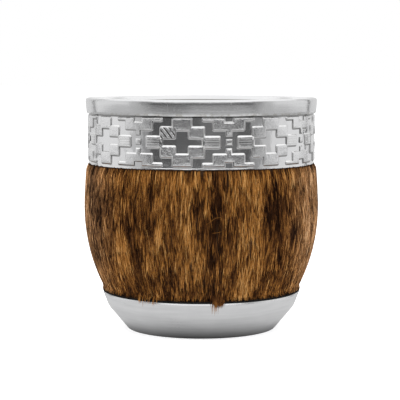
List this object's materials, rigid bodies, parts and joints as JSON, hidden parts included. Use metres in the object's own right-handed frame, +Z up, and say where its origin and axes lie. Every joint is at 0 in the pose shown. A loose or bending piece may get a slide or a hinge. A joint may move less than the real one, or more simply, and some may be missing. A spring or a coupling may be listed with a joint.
{
  "type": "mate gourd",
  "caption": "Round gourd drinking cup in a brindled hair-on hide sleeve, with an embossed metal collar, a rolled metal rim and a spun metal base.",
  "frame": {"origin": "middle of the flat foot, on the surface that the cup stands on", "axes": "+Z up through the middle of the mouth, -Y towards the front, where the hide's seam is at the back"},
  "size_m": [0.0912, 0.0911, 0.0896],
  "materials": {
    "gourd": "dried gourd, satin",
    "hide": "brindled hair-on hide",
    "thread": "waxed thread",
    "collar_metal": "embossed, polished",
    "rim_metal": "spun, polished",
    "sealant": "matte",
    "base_metal": "spun, brushed",
    "glue": "cured adhesive",
    "welt": "matte black"
  },
  "bodies": {
    "root": {"gourd_shell": "gourd", "hide_wrap": "hide", "hide_seam_thread": "thread", "embossed_collar": "collar_metal", "rim_ring": "rim_metal", "rim_sealant": "sealant", "base_cup": "base_metal", "base_glue_bed": "glue", "base_welt": "welt"}
  },
  "joints": []
}
